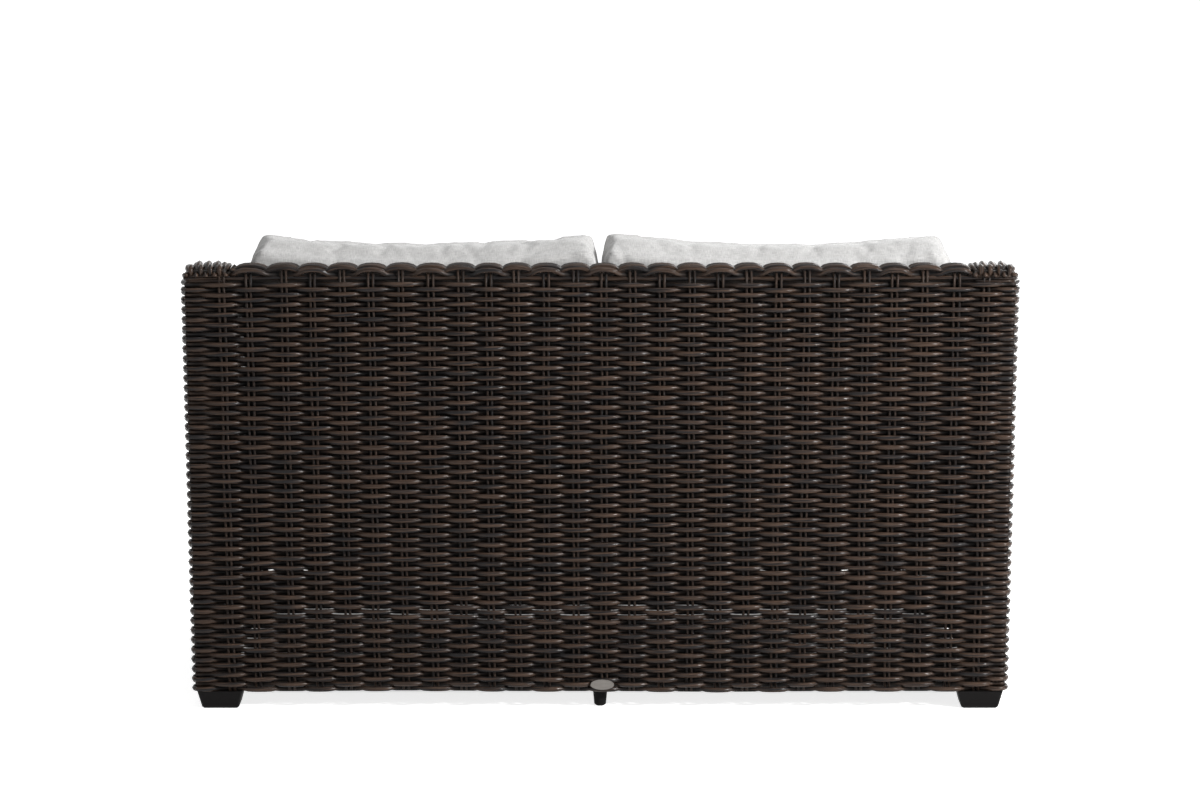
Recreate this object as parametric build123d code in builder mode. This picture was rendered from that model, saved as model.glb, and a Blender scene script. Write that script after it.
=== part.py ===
from build123d import *
from math import atan, atan2, cos, degrees, sin
import os

os.makedirs("parts", exist_ok=True)

# Two-seat woven patio loveseat. Millimetres, +Z up. The sitter faces -Y, so the
# sitter's left is +X. The origin is the middle of the floor under the seat.

# Outer sizes
overall_width = 1524
side_lean = 11
overall_depth = 890
rim_height = 813
arm_front_height = 640
foot_height = 33

# Woven skins: stake pairs with round weavers in front and behind
skin_thickness = 24
skin_clearance = 0.3
skin_corner_radius = 20
rim_edge_radius = 14
back_course_count = 85
furrow_width_share = 0.68
furrow_depth = 7

# Aluminium frame of square tube, welded
tube_width = 40
tube_wall = 2
base_rail_height = 60
seat_rail_top = 298
bearer_height = 30
bearer_drop = 8
upright_pitch_share = 2.5

# Elastic webbing of the seat deck
strap_width = 60
strap_thickness = 2.4
strap_gap = 0.2
long_strap_count = 11
cross_strap_count = 5
clip_thickness = 1.2
clip_leg = 14
clip_lap = 18
clip_clearance = 0.3
slot_offset = 8

# Feet
foot_top_width = 83
foot_bottom_width = 66
foot_inset = 15
foot_end_inset = 7
foot_edge_chamfer = 3
spigot_length = 30
spigot_clearance = 0.3
foot_screw_radius = 3
foot_screw_length = 34
foot_screw_head_radius = 6
foot_screw_head_height = 4
foot_screw_recess = 8
foot_screw_clearance = 0.3
centre_foot_top_radius = 13.5
centre_foot_bottom_radius = 10.5
centre_foot_chamfer = 3
centre_foot_flats = 24
centre_stud_radius = 5
centre_stud_length = 16
centre_stud_clearance = 0.2

# Oval tag at the foot of the back
tag_length = 43
tag_height = 19
tag_thickness = 1.2
tag_bottom_gap = 5
tag_offset = 4
rivet_radius = 1.2
rivet_head_radius = 2.2
rivet_head_height = 0.8
rivet_inset = 4
rivet_clearance = 0.1

# Loose cushions: a sewn cover with its padding round a foam core
seat_cushion_thickness = 142
seat_cushion_crown = 14
seat_cushion_front_gap = 5
seat_cushion_rear_gap = 1
seat_cushion_side_gap = 4
cushion_middle_gap = 1.5
cushion_rest_gap = 0.3
back_cushion_side_gap = 14.6
back_cushion_rise = 42
back_cushion_thickness = 138
back_cushion_crown = 20
back_cushion_lean = 10
back_cushion_rim_gap = 3.6
cushion_side_draw = 6
cushion_front_draw = 6
back_cushion_top_draw = 21
back_cushion_bottom_draw = 3
boxing_bulge = 5
cushion_corner_radius = 28
cushion_padding = 22
core_clearance = 0.3
core_corner_radius = 20

# One overrun for every cutting solid
overrun = 5

# Places that follow from the sizes above
tag_proud = tag_thickness + rivet_head_height
front_y = -overall_depth / 2
rear_y = overall_depth / 2 - tag_proud
base_width = overall_width - 2 * side_lean
post_x = base_width / 2 - skin_thickness - skin_clearance - tube_width / 2
rear_post_y = rear_y - skin_thickness - skin_clearance - tube_width / 2
front_post_y = front_y + skin_thickness + skin_clearance + tube_width / 2
inner_x = post_x - tube_width / 2 - skin_clearance - skin_thickness
inner_y = rear_post_y - tube_width / 2 - skin_clearance - skin_thickness
rim_underside = rim_height - skin_thickness
rail_span_x = 2 * post_x - tube_width
rail_span_y = rear_post_y - front_post_y - tube_width

# The sides lean out from the base to the rim
side_lean_angle = atan2(side_lean, rim_height - foot_height)

# The arm tops slope down from the rim to the front
arm_slope = (rim_height - arm_front_height) / (inner_y - front_y)
arm_angle = atan(arm_slope)


def half_width(z):
    """Half of the outer width at a height."""
    return base_width / 2 + side_lean * (z - foot_height) / (rim_height - foot_height)


def arm_top(y):
    """Height of the woven arm top at a place along the arm."""
    return rim_height - arm_slope * (inner_y - y)


def arm_underside(y):
    """Height under the arm's top weave at a place along the arm."""
    return arm_top(y) - skin_thickness


def save(piece, label):
    piece.part.label = label
    export_step(piece.part, f"parts/{label}.step")


def save_pair(piece, label):
    """The piece as built is the sitter's left one, and its mirror image the right one."""
    save(piece, f"{label}_left")
    with BuildPart() as right_piece:
        mirror(piece.part, about=Plane.YZ)
    save(right_piece, f"{label}_right")


# Frame tubes

slot_length = strap_width + 2 * clip_clearance
slot_width = clip_thickness + 2 * clip_clearance
long_strap_pitch = rail_span_x / long_strap_count
cross_strap_pitch = rail_span_y / cross_strap_count
seat_rail_z = seat_rail_top - tube_width / 2
base_rail_z = foot_height + base_rail_height / 2
bearer_z = seat_rail_top - bearer_drop - bearer_height / 2


def draw_tube(plane, height, length):
    """A square tube along the plane's normal, its section's second side along local y."""
    with BuildSketch(plane) as section:
        Rectangle(tube_width, height)
        Rectangle(tube_width - 2 * tube_wall, height - 2 * tube_wall, mode=Mode.SUBTRACT)
    extrude(section.sketch, amount=length)


def plane_along_x(y, z, length):
    """Section plane at the right end of a member centred on the middle."""
    return Plane(origin=(-length / 2, y, z), x_dir=(0, 1, 0), z_dir=(1, 0, 0))


def plane_along_y(x, z):
    """Section plane on the rear face of the front posts, looking to the rear."""
    return Plane(origin=(x, front_post_y + tube_width / 2, z), x_dir=(1, 0, 0), z_dir=(0, 1, 0))


def plane_upward(x, y, z):
    return Plane(origin=(x, y, z))


for place, rail_y in (("front", front_post_y), ("rear", rear_post_y)):
    with BuildPart() as base_rail:
        draw_tube(plane_along_x(rail_y, base_rail_z, rail_span_x), base_rail_height, rail_span_x)
        with BuildSketch(Plane.XY.offset(foot_height)):
            with Locations((0, rail_y)):
                Circle(centre_stud_radius + centre_stud_clearance)
        extrude(amount=tube_wall, mode=Mode.SUBTRACT)
    save(base_rail, f"base_rail_{place}")

    slot_y = rail_y + slot_offset * (1 if place == "rear" else -1)
    with BuildPart() as seat_rail:
        draw_tube(plane_along_x(rail_y, seat_rail_z, rail_span_x), tube_width, rail_span_x)
        with BuildSketch(Plane.XY.offset(seat_rail_top)):
            with Locations((0, slot_y)):
                with GridLocations(long_strap_pitch, 0, long_strap_count, 1):
                    Rectangle(slot_length, slot_width)
        extrude(amount=-tube_wall, mode=Mode.SUBTRACT)
    save(seat_rail, f"seat_rail_{place}")

with BuildPart() as base_side_rail:
    draw_tube(plane_along_y(post_x, base_rail_z), base_rail_height, rail_span_y)
save_pair(base_side_rail, "base_rail")

rail_middle_y = (front_post_y + rear_post_y) / 2
with BuildPart() as seat_side_rail:
    draw_tube(plane_along_y(post_x, seat_rail_z), tube_width, rail_span_y)
    with BuildSketch(Plane.XY.offset(seat_rail_top)):
        with Locations((post_x + slot_offset, rail_middle_y)):
            with GridLocations(0, cross_strap_pitch, 1, cross_strap_count):
                Rectangle(slot_width, slot_length)
    extrude(amount=-tube_wall, mode=Mode.SUBTRACT)
save_pair(seat_side_rail, "seat_rail")

with BuildPart() as seat_bearer:
    draw_tube(plane_along_y(0, bearer_z), bearer_height, rail_span_y)
save(seat_bearer, "seat_bearer")

rear_post_top = rim_underside - skin_clearance
with BuildPart() as rear_post:
    draw_tube(plane_upward(post_x, rear_post_y, foot_height), tube_width, rear_post_top - foot_height)
save_pair(rear_post, "rear_post")

# Each arm rail runs from the rear post over the front post, cut upright at both ends
arm_rail_rear_y = rear_post_y - tube_width / 2
arm_rail_front_y = front_post_y - tube_width / 2
arm_rail_run = arm_rail_rear_y - arm_rail_front_y
arm_rail_fall = rear_post_top - (arm_underside(arm_rail_front_y) - skin_clearance)
arm_rail_angle = atan2(arm_rail_fall, arm_rail_run)
arm_rail_height = tube_width / cos(arm_rail_angle)
arm_rail_wall = tube_wall / cos(arm_rail_angle)
with BuildPart() as arm_rail:
    with BuildSketch(
        Plane(
            origin=(post_x, arm_rail_rear_y, rear_post_top - arm_rail_height / 2),
            x_dir=(1, 0, 0),
            z_dir=(0, -1, 0),
        )
    ):
        Rectangle(tube_width, arm_rail_height)
        Rectangle(
            tube_width - 2 * tube_wall, arm_rail_height - 2 * arm_rail_wall, mode=Mode.SUBTRACT
        )
    extrude(
        amount=arm_rail_run / cos(arm_rail_angle),
        dir=(0, -cos(arm_rail_angle), -sin(arm_rail_angle)),
    )
save_pair(arm_rail, "arm_rail")

arm_rail_seat = Plane(
    origin=(post_x, arm_rail_rear_y, rear_post_top - arm_rail_height),
    x_dir=(1, 0, 0),
    z_dir=(0, -sin(arm_rail_angle), cos(arm_rail_angle)),
)
with BuildPart() as front_post:
    draw_tube(
        plane_upward(post_x, front_post_y, foot_height), tube_width, arm_front_height - foot_height
    )
    split(bisect_by=arm_rail_seat, keep=Keep.BOTTOM)
save_pair(front_post, "front_post")

back_rail_z = rear_post_top - tube_width / 2
with BuildPart() as back_top_rail:
    draw_tube(plane_along_x(rear_post_y, back_rail_z, rail_span_x), tube_width, rail_span_x)
save(back_top_rail, "back_top_rail")

# The back uprights stand on the seat rail in a space between two straps
upright_x = upright_pitch_share * long_strap_pitch
with BuildPart() as back_upright:
    draw_tube(
        plane_upward(upright_x, rear_post_y, seat_rail_top),
        tube_width,
        rear_post_top - tube_width - seat_rail_top,
    )
save_pair(back_upright, "back_upright")

base_rail_top = foot_height + base_rail_height
for place, rail_y in (("front", front_post_y), ("rear", rear_post_y)):
    with BuildPart() as seat_strut:
        draw_tube(
            plane_upward(0, rail_y, base_rail_top),
            tube_width,
            seat_rail_top - tube_width - base_rail_top,
        )
    save(seat_strut, f"seat_strut_{place}")


# Seat deck: straps from front to rear and from side to side, each passing over one
# and under the next, with a steel clip at each end hooked down into a slotted rail

strap_lift = (strap_thickness + strap_gap) / 2
strap_plateau = strap_width + 2 * strap_thickness
strap_mid_z = seat_rail_top + strap_gap + strap_thickness / 2
strap_top_z = seat_rail_top + strap_gap + strap_thickness
clip_top_z = strap_top_z + strap_gap + clip_thickness
deck_top_z = max(strap_top_z + strap_lift, clip_top_z)


def strap_corners(half_length, half_span, crossings, rises):
    """Side view of a strap: level over both rails, raised or lowered at each crossing."""
    levels = [(-half_length, 0), (-half_span, 0)]
    for place, rise in zip(crossings, rises):
        levels.append((place - strap_plateau / 2, rise * strap_lift))
        levels.append((place + strap_plateau / 2, rise * strap_lift))
    levels += [(half_span, 0), (half_length, 0)]
    upper = [(u, z + strap_thickness / 2) for u, z in levels]
    lower = [(u, z - strap_thickness / 2) for u, z in reversed(levels)]
    return upper + lower


def strap_places(pitch, count):
    return [pitch * (i - (count - 1) / 2) for i in range(count)]


long_strap_places = strap_places(long_strap_pitch, long_strap_count)
cross_strap_places = strap_places(cross_strap_pitch, cross_strap_count)
strap_end_inset = slot_width / 2
long_strap_half = (rear_post_y - front_post_y) / 2 + slot_offset - strap_end_inset
cross_strap_half = post_x + slot_offset - strap_end_inset

with BuildPart() as long_straps:
    for i, x in enumerate(long_strap_places):
        strap_side = Plane(
            origin=(x - strap_width / 2, rail_middle_y, strap_mid_z), x_dir=(0, 1, 0), z_dir=(1, 0, 0)
        )
        with BuildSketch(strap_side):
            rises = [1 if (i + j) % 2 else -1 for j in range(cross_strap_count)]
            with BuildLine():
                Polyline(
                    *strap_corners(long_strap_half, rail_span_y / 2, cross_strap_places, rises),
                    close=True,
                )
            make_face()
        extrude(amount=strap_width)
save(long_straps, "webbing_front_to_rear")

with BuildPart() as cross_straps:
    for j, y in enumerate(cross_strap_places):
        strap_side = Plane(
            origin=(0, rail_middle_y + y + strap_width / 2, strap_mid_z),
            x_dir=(1, 0, 0),
            z_dir=(0, -1, 0),
        )
        with BuildSketch(strap_side):
            rises = [-1 if (i + j) % 2 else 1 for i in range(long_strap_count)]
            with BuildLine():
                Polyline(
                    *strap_corners(cross_strap_half, rail_span_x / 2, long_strap_places, rises),
                    close=True,
                )
            make_face()
        extrude(amount=strap_width)
save(cross_straps, "webbing_side_to_side")


def draw_clip(slot_x, slot_y, turn):
    """One clip: a plate lying on the strap's end and a leg down through the slot."""
    clip_side = Plane(
        origin=(slot_x, slot_y, seat_rail_top),
        x_dir=(cos(turn), sin(turn), 0),
        z_dir=(sin(turn), -cos(turn), 0),
    )
    plate_top = clip_top_z - seat_rail_top
    plate_under = plate_top - clip_thickness
    leg_half = clip_thickness / 2
    with BuildSketch(clip_side) as profile:
        with BuildLine():
            Polyline(
                (-leg_half, -clip_leg),
                (leg_half, -clip_leg),
                (leg_half, plate_top),
                (-clip_lap, plate_top),
                (-clip_lap, plate_under),
                (-leg_half, plate_under),
                close=True,
            )
        make_face()
    extrude(profile.sketch, amount=strap_width / 2, both=True)


quarter_turn = atan2(1, 0)
with BuildPart() as clips:
    for x in long_strap_places:
        draw_clip(x, rear_post_y + slot_offset, quarter_turn)
        draw_clip(x, front_post_y - slot_offset, -quarter_turn)
    for y in cross_strap_places:
        draw_clip(post_x + slot_offset, rail_middle_y + y, 0)
        draw_clip(-post_x - slot_offset, rail_middle_y + y, 2 * quarter_turn)
save(clips, "webbing_clips")


# Woven skins. Every face is furrowed from end to end between its courses of weavers.

inner_skin_bottom = deck_top_z + skin_clearance
course_pitch = (rim_underside - foot_height) / back_course_count
furrow_width = furrow_width_share * course_pitch


def cut_furrows(face, length, bottom, top):
    """Furrows along a face. The face's x runs along it, y up it from the feet, z out of it."""
    profile = Plane(origin=face.origin, x_dir=face.z_dir, z_dir=-face.x_dir)
    first = int((bottom - foot_height) / course_pitch) + 1
    last = int((top - foot_height - furrow_width) / course_pitch)
    with BuildSketch(profile) as furrows:
        for course in range(first, last + 1):
            level = course * course_pitch
            with BuildLine():
                Polyline(
                    (0, level - furrow_width / 2),
                    (0, level + furrow_width / 2),
                    (-furrow_depth, level),
                    close=True,
                )
            make_face()
    extrude(furrows.sketch, amount=length / 2, both=True, mode=Mode.SUBTRACT)

with BuildPart() as back_outer:
    with BuildSketch(
        Plane(origin=(0, rear_y, 0), x_dir=(1, 0, 0), z_dir=(0, -1, 0))
    ):
        with BuildLine():
            Polyline(
                (-half_width(foot_height), foot_height),
                (half_width(foot_height), foot_height),
                (half_width(rim_underside), rim_underside),
                (-half_width(rim_underside), rim_underside),
                close=True,
            )
        make_face()
    extrude(amount=skin_thickness)
    for end in (0, -1):
        fillet(back_outer.edges().group_by(Axis.X)[end].sort_by(Axis.Y)[-1], skin_corner_radius)
    with BuildSketch(Plane(origin=(0, rear_y, 0), x_dir=(1, 0, 0), z_dir=(0, -1, 0))):
        with Locations((-tag_offset, foot_height + tag_bottom_gap + tag_height / 2)):
            with GridLocations(tag_length - 2 * rivet_inset, 0, 2, 1):
                Circle(rivet_radius + rivet_clearance)
    extrude(amount=skin_thickness, mode=Mode.SUBTRACT)
    back_face = Plane(origin=(0, rear_y, foot_height), x_dir=(-1, 0, 0), z_dir=(0, 1, 0))
    cut_furrows(back_face, base_width - 2 * skin_corner_radius, foot_height, rim_underside)
save(back_outer, "back_weave_outer")

with BuildPart() as rim:
    with BuildSketch(Plane.YZ.offset(-inner_x)):
        with Locations(((inner_y + rear_y) / 2, rim_height - skin_thickness / 2)):
            Rectangle(rear_y - inner_y, skin_thickness)
    extrude(amount=2 * inner_x)
    fillet(rim.edges().filter_by(Axis.X).group_by(Axis.Z)[-1], rim_edge_radius)
save(rim, "back_rim_weave")

with BuildPart() as back_inner:
    with BuildSketch(Plane(origin=(0, inner_y, 0), x_dir=(1, 0, 0), z_dir=(0, -1, 0))):
        with Locations((0, (inner_skin_bottom + rim_underside) / 2)):
            Rectangle(2 * inner_x, rim_underside - inner_skin_bottom)
    extrude(amount=-skin_thickness)
    inner_face = Plane(origin=(0, inner_y, foot_height), x_dir=(1, 0, 0), z_dir=(0, -1, 0))
    cut_furrows(inner_face, 2 * inner_x + overrun, inner_skin_bottom, rim_underside)
save(back_inner, "back_weave_inner")

side_plane = Plane(
    origin=(base_width / 2, 0, foot_height),
    x_dir=(0, 1, 0),
    z_dir=(cos(side_lean_angle), 0, -sin(side_lean_angle)),
)
side_front_y = front_y + skin_thickness
side_rear_y = rear_y - skin_thickness
with BuildPart() as arm_outer:
    with BuildSketch(Plane.YZ.offset(post_x)):
        with BuildLine():
            Polyline(
                (side_front_y, foot_height),
                (side_rear_y, foot_height),
                (side_rear_y, rim_underside),
                (inner_y, rim_underside),
                (side_front_y, arm_underside(side_front_y)),
                close=True,
            )
        make_face()
    extrude(amount=overall_width / 2 - post_x)
    split(bisect_by=side_plane, keep=Keep.BOTTOM)
    split(bisect_by=side_plane.offset(-skin_thickness), keep=Keep.TOP)
    cut_furrows(side_plane, overall_depth, foot_height, rim_underside)
save_pair(arm_outer, "arm_weave_outer")

arm_inner_rear_y = inner_y + skin_thickness
with BuildPart() as arm_inner:
    with BuildSketch(Plane.YZ.offset(inner_x)):
        with BuildLine():
            Polyline(
                (side_front_y, inner_skin_bottom),
                (arm_inner_rear_y, inner_skin_bottom),
                (arm_inner_rear_y, rim_underside),
                (inner_y, rim_underside),
                (side_front_y, arm_underside(side_front_y)),
                close=True,
            )
        make_face()
    extrude(amount=skin_thickness)
    arm_face = Plane(origin=(inner_x, 0, foot_height), x_dir=(0, -1, 0), z_dir=(-1, 0, 0))
    cut_furrows(arm_face, overall_depth, inner_skin_bottom, rim_underside)
save_pair(arm_inner, "arm_weave_inner")

with BuildPart() as arm_cap:
    with BuildSketch(Plane.YZ.offset(inner_x)):
        with BuildLine():
            Polyline(
                (front_y, arm_underside(front_y)),
                (inner_y, rim_underside),
                (rear_y, rim_underside),
                (rear_y, rim_height),
                (inner_y, rim_height),
                (front_y, arm_top(front_y)),
                close=True,
            )
        make_face()
    extrude(amount=overall_width / 2 - inner_x)
    split(bisect_by=side_plane, keep=Keep.BOTTOM)
    outer_corners = arm_cap.edges().filter_by(lambda edge: abs(edge.tangent_at(0).Z) > cos(arm_angle))
    fillet(outer_corners.group_by(Axis.X)[-1], skin_corner_radius)
    cap_tops = arm_cap.faces().filter_by(lambda face: face.normal_at().Z > cos(2 * arm_angle))
    ridge = cap_tops[0].edges().filter_by(lambda edge: edge in cap_tops[1].edges())
    inner_edges = cap_tops.edges().filter_by(lambda edge: edge.bounding_box().max.X < post_x)
    cap_edges = cap_tops.edges().filter_by(
        lambda edge: edge not in ridge and edge not in inner_edges
    )
    fillet(cap_edges, rim_edge_radius)
    # The inner edge is rounded from the front to the ridge, where the back's rim meets it
    with BuildSketch(
        Plane(origin=(inner_x, inner_y, rim_height), x_dir=(1, 0, 0), z_dir=(0, -1, 0))
    ):
        with BuildLine():
            RadiusArc((0, -rim_edge_radius), (rim_edge_radius, 0), rim_edge_radius)
            Polyline(
                (rim_edge_radius, 0),
                (rim_edge_radius, overrun),
                (-overrun, overrun),
                (-overrun, -rim_edge_radius),
                (0, -rim_edge_radius),
            )
        make_face()
    extrude(
        amount=(inner_y - front_y + overrun) / cos(arm_angle),
        dir=(0, -cos(arm_angle), -sin(arm_angle)),
        mode=Mode.SUBTRACT,
    )
save_pair(arm_cap, "arm_weave_top")

with BuildPart() as arm_front:
    with BuildSketch(Plane(origin=(0, front_y, 0), x_dir=(1, 0, 0), z_dir=(0, -1, 0))):
        with BuildLine():
            Polyline(
                (inner_x, foot_height),
                (half_width(foot_height), foot_height),
                (half_width(arm_front_height), arm_front_height),
                (inner_x, arm_front_height),
                close=True,
            )
        make_face()
    extrude(amount=-skin_thickness)
    split(
        bisect_by=Plane(
            origin=(inner_x, front_y, arm_underside(front_y)),
            x_dir=(1, 0, 0),
            z_dir=(0, -sin(arm_angle), cos(arm_angle)),
        ),
        keep=Keep.BOTTOM,
    )
    fillet(arm_front.edges().group_by(Axis.X)[-1].sort_by(Axis.Y)[0], skin_corner_radius)
    front_face = Plane(origin=(inner_x, front_y, foot_height), x_dir=(1, 0, 0), z_dir=(0, -1, 0))
    front_face_width = base_width / 2 - skin_corner_radius - inner_x
    cut_furrows(front_face, 2 * front_face_width, foot_height, arm_underside(front_y))
save_pair(arm_front, "arm_weave_front")

with BuildPart() as apron:
    with BuildSketch(Plane(origin=(0, front_y, 0), x_dir=(1, 0, 0), z_dir=(0, -1, 0))):
        with Locations((0, (foot_height + deck_top_z) / 2)):
            Rectangle(2 * inner_x, deck_top_z - foot_height)
    extrude(amount=-skin_thickness)
    fillet(apron.faces().sort_by(Axis.Z)[-1].edges().sort_by(Axis.Y)[0], rim_edge_radius)
    apron_face = Plane(origin=(0, front_y, foot_height), x_dir=(1, 0, 0), z_dir=(0, -1, 0))
    cut_furrows(apron_face, 2 * inner_x + overrun, foot_height, deck_top_z - rim_edge_radius)
save(apron, "front_apron_weave")


# Corner feet: tapered blocks with a spigot pushed up into the post, and a screw

spigot_width = tube_width - 2 * tube_wall - 2 * spigot_clearance
foot_x = base_width / 2 - foot_inset - foot_top_width / 2
foot_rear_y = rear_y - foot_end_inset - foot_top_width / 2
foot_front_y = front_y + foot_end_inset + foot_top_width / 2
foot_taper = degrees(atan((foot_top_width - foot_bottom_width) / 2 / foot_height))

for place, block_y, post_y in (
    ("front", foot_front_y, front_post_y),
    ("rear", foot_rear_y, rear_post_y),
):
    with BuildPart() as foot:
        with BuildSketch(Plane.XY.offset(foot_height)):
            with Locations((foot_x, block_y)):
                Rectangle(foot_top_width, foot_top_width)
        extrude(amount=-foot_height, taper=foot_taper)
        chamfer(foot.edges().group_by(Axis.Z)[1], foot_edge_chamfer)
        chamfer(foot.edges().group_by(Axis.Z)[0], foot_edge_chamfer)
        with BuildSketch(Plane.XY.offset(foot_height)):
            with Locations((post_x, post_y)):
                Rectangle(spigot_width, spigot_width)
        extrude(amount=spigot_length)
        with Locations(Plane(origin=(post_x, post_y, 0), z_dir=(0, 0, -1))):
            CounterBoreHole(
                radius=foot_screw_radius + foot_screw_clearance,
                counter_bore_radius=foot_screw_head_radius + foot_screw_clearance,
                counter_bore_depth=foot_screw_recess,
                depth=foot_height + spigot_length,
            )
    save_pair(foot, f"foot_{place}")

with BuildPart() as foot_screws:
    for x in (-post_x, post_x):
        for y in (front_post_y, rear_post_y):
            with BuildSketch(Plane.XY.offset(foot_screw_recess)):
                with Locations((x, y)):
                    Circle(foot_screw_head_radius)
            extrude(amount=-foot_screw_head_height)
            with BuildSketch(Plane.XY.offset(foot_screw_recess)):
                with Locations((x, y)):
                    Circle(foot_screw_radius)
            extrude(amount=foot_screw_length)
save(foot_screws, "foot_screws")


# Centre feet: slim tapered legs with a bevelled end and a stud up through the base rail

centre_foot_taper = degrees(
    atan((centre_foot_top_radius - centre_foot_bottom_radius) / foot_height)
)
for place, rail_y in (("front", front_post_y), ("rear", rear_post_y)):
    with BuildPart() as centre_foot:
        with BuildSketch(Plane.XY.offset(foot_height)):
            with Locations((0, rail_y)):
                RegularPolygon(centre_foot_top_radius, centre_foot_flats, major_radius=False)
        extrude(amount=-foot_height, taper=centre_foot_taper)
        chamfer(centre_foot.edges().group_by(Axis.Z)[0], centre_foot_chamfer)
        with BuildSketch(Plane.XY.offset(foot_height)):
            with Locations((0, rail_y)):
                RegularPolygon(centre_stud_radius, centre_foot_flats)
        extrude(amount=centre_stud_length)
    save(centre_foot, f"centre_foot_{place}")


# Oval tag, held to the weave by a rivet at each end

tag_plane = Plane(
    origin=(-tag_offset, rear_y, foot_height + tag_bottom_gap + tag_height / 2),
    x_dir=(-1, 0, 0),
    z_dir=(0, 1, 0),
)
rivet_spacing = tag_length - 2 * rivet_inset
with BuildPart() as tag:
    with BuildSketch(tag_plane):
        Ellipse(tag_length / 2, tag_height / 2)
        with GridLocations(rivet_spacing, 0, 2, 1):
            Circle(rivet_radius + rivet_clearance, mode=Mode.SUBTRACT)
    extrude(amount=tag_thickness)
save(tag, "oval_tag")

with BuildPart() as rivets:
    with BuildSketch(tag_plane.offset(tag_thickness)):
        with GridLocations(rivet_spacing, 0, 2, 1):
            Circle(rivet_head_radius)
    extrude(amount=rivet_head_height)
    with BuildSketch(tag_plane.offset(tag_thickness)):
        with GridLocations(rivet_spacing, 0, 2, 1):
            Circle(rivet_radius)
    extrude(amount=-(tag_thickness + skin_thickness))
save(rivets, "tag_rivets")


# Cushions. Local x runs along the width, local y along the depth of a seat cushion
# or up a back cushion, and local z through the thickness.

station_shares = (-1, 0, 1)
end_crown_share = 0.15


def middle_share(station):
    """One at the middle of a width and zero at its ends."""
    return 1 - station**2


def draw_cover(plane, width, length, thickness, crowns, draws, padding):
    """A crowned cushion with drawn-in sides, hollow where its foam core lies."""
    half_z = thickness / 2
    sections = []
    for station in station_shares:
        share = end_crown_share + (1 - end_crown_share) * middle_share(station)
        far_y = length / 2 - draws["far"] * middle_share(station)
        near_y = -length / 2 + draws["near"] * middle_share(station)
        mid_y = (far_y + near_y) / 2
        section_plane = Plane(
            origin=plane.from_local_coords((station * width / 2, 0, 0)),
            x_dir=plane.y_dir,
            z_dir=plane.x_dir,
        )
        with BuildSketch(section_plane) as section:
            with BuildLine():
                ThreePointArc(
                    (near_y, half_z), (mid_y, half_z + crowns["upper"] * share), (far_y, half_z)
                )
                ThreePointArc((far_y, half_z), (far_y + boxing_bulge, 0), (far_y, -half_z))
                if crowns["lower"]:
                    ThreePointArc(
                        (far_y, -half_z),
                        (mid_y, -half_z - crowns["lower"] * share),
                        (near_y, -half_z),
                    )
                else:
                    Line((far_y, -half_z), (near_y, -half_z))
                ThreePointArc((near_y, -half_z), (near_y - boxing_bulge, 0), (near_y, half_z))
            make_face()
        sections.append(section.sketch)
    loft(sections)
    reach_y = length / 2 + boxing_bulge
    reach_z = half_z + max(crowns.values()) + overrun
    with BuildSketch(plane.offset(-reach_z)) as plan:
        with BuildLine():
            Line((-width / 2, -reach_y), (width / 2, -reach_y))
            ThreePointArc(
                (width / 2, -reach_y), (width / 2 - draws["side"], 0), (width / 2, reach_y)
            )
            Line((width / 2, reach_y), (-width / 2, reach_y))
            ThreePointArc(
                (-width / 2, reach_y), (-width / 2 + draws["side"], 0), (-width / 2, -reach_y)
            )
        make_face()
        fillet(plan.vertices(), cushion_corner_radius)
    extrude(plan.sketch, amount=2 * reach_z, mode=Mode.INTERSECT)
    draw_core(plane, width, length, thickness, draws, padding - core_clearance, Mode.SUBTRACT)


def draw_core(plane, width, length, thickness, draws, padding, mode=Mode.ADD):
    """The foam slab, inside the cover by the padding all round."""
    core_width = width - 2 * (draws["side"] + padding)
    core_length = length - draws["far"] - draws["near"] - 2 * padding
    core_thickness = thickness - 2 * padding
    core_mid_y = (draws["near"] - draws["far"]) / 2
    with BuildSketch(plane.offset(-core_thickness / 2)) as slab:
        with Locations((0, core_mid_y)):
            RectangleRounded(core_width, core_length, core_corner_radius)
    extrude(slab.sketch, amount=core_thickness, mode=mode)


seat_cushion_width = inner_x - seat_cushion_side_gap - cushion_middle_gap / 2
seat_cushion_x = cushion_middle_gap / 2 + seat_cushion_width / 2
seat_cushion_front_y = front_y + seat_cushion_front_gap + boxing_bulge
seat_cushion_rear_y = inner_y - seat_cushion_rear_gap - boxing_bulge
seat_cushion_length = seat_cushion_rear_y - seat_cushion_front_y
seat_cushion_bottom = deck_top_z + cushion_rest_gap
seat_cushion_top = seat_cushion_bottom + seat_cushion_thickness
seat_cushion_plane = Plane(
    origin=(
        seat_cushion_x,
        (seat_cushion_rear_y + seat_cushion_front_y) / 2,
        (seat_cushion_bottom + seat_cushion_top) / 2,
    )
)
seat_sizes = (seat_cushion_plane, seat_cushion_width, seat_cushion_length, seat_cushion_thickness)
seat_crowns = {"upper": seat_cushion_crown, "lower": 0}
seat_draws = {"side": cushion_side_draw, "near": cushion_front_draw, "far": cushion_front_draw}

with BuildPart() as seat_cover:
    draw_cover(*seat_sizes, seat_crowns, seat_draws, cushion_padding)
save_pair(seat_cover, "seat_cushion_cover")

with BuildPart() as seat_core:
    draw_core(*seat_sizes, seat_draws, cushion_padding)
save_pair(seat_core, "seat_cushion_core")

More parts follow.
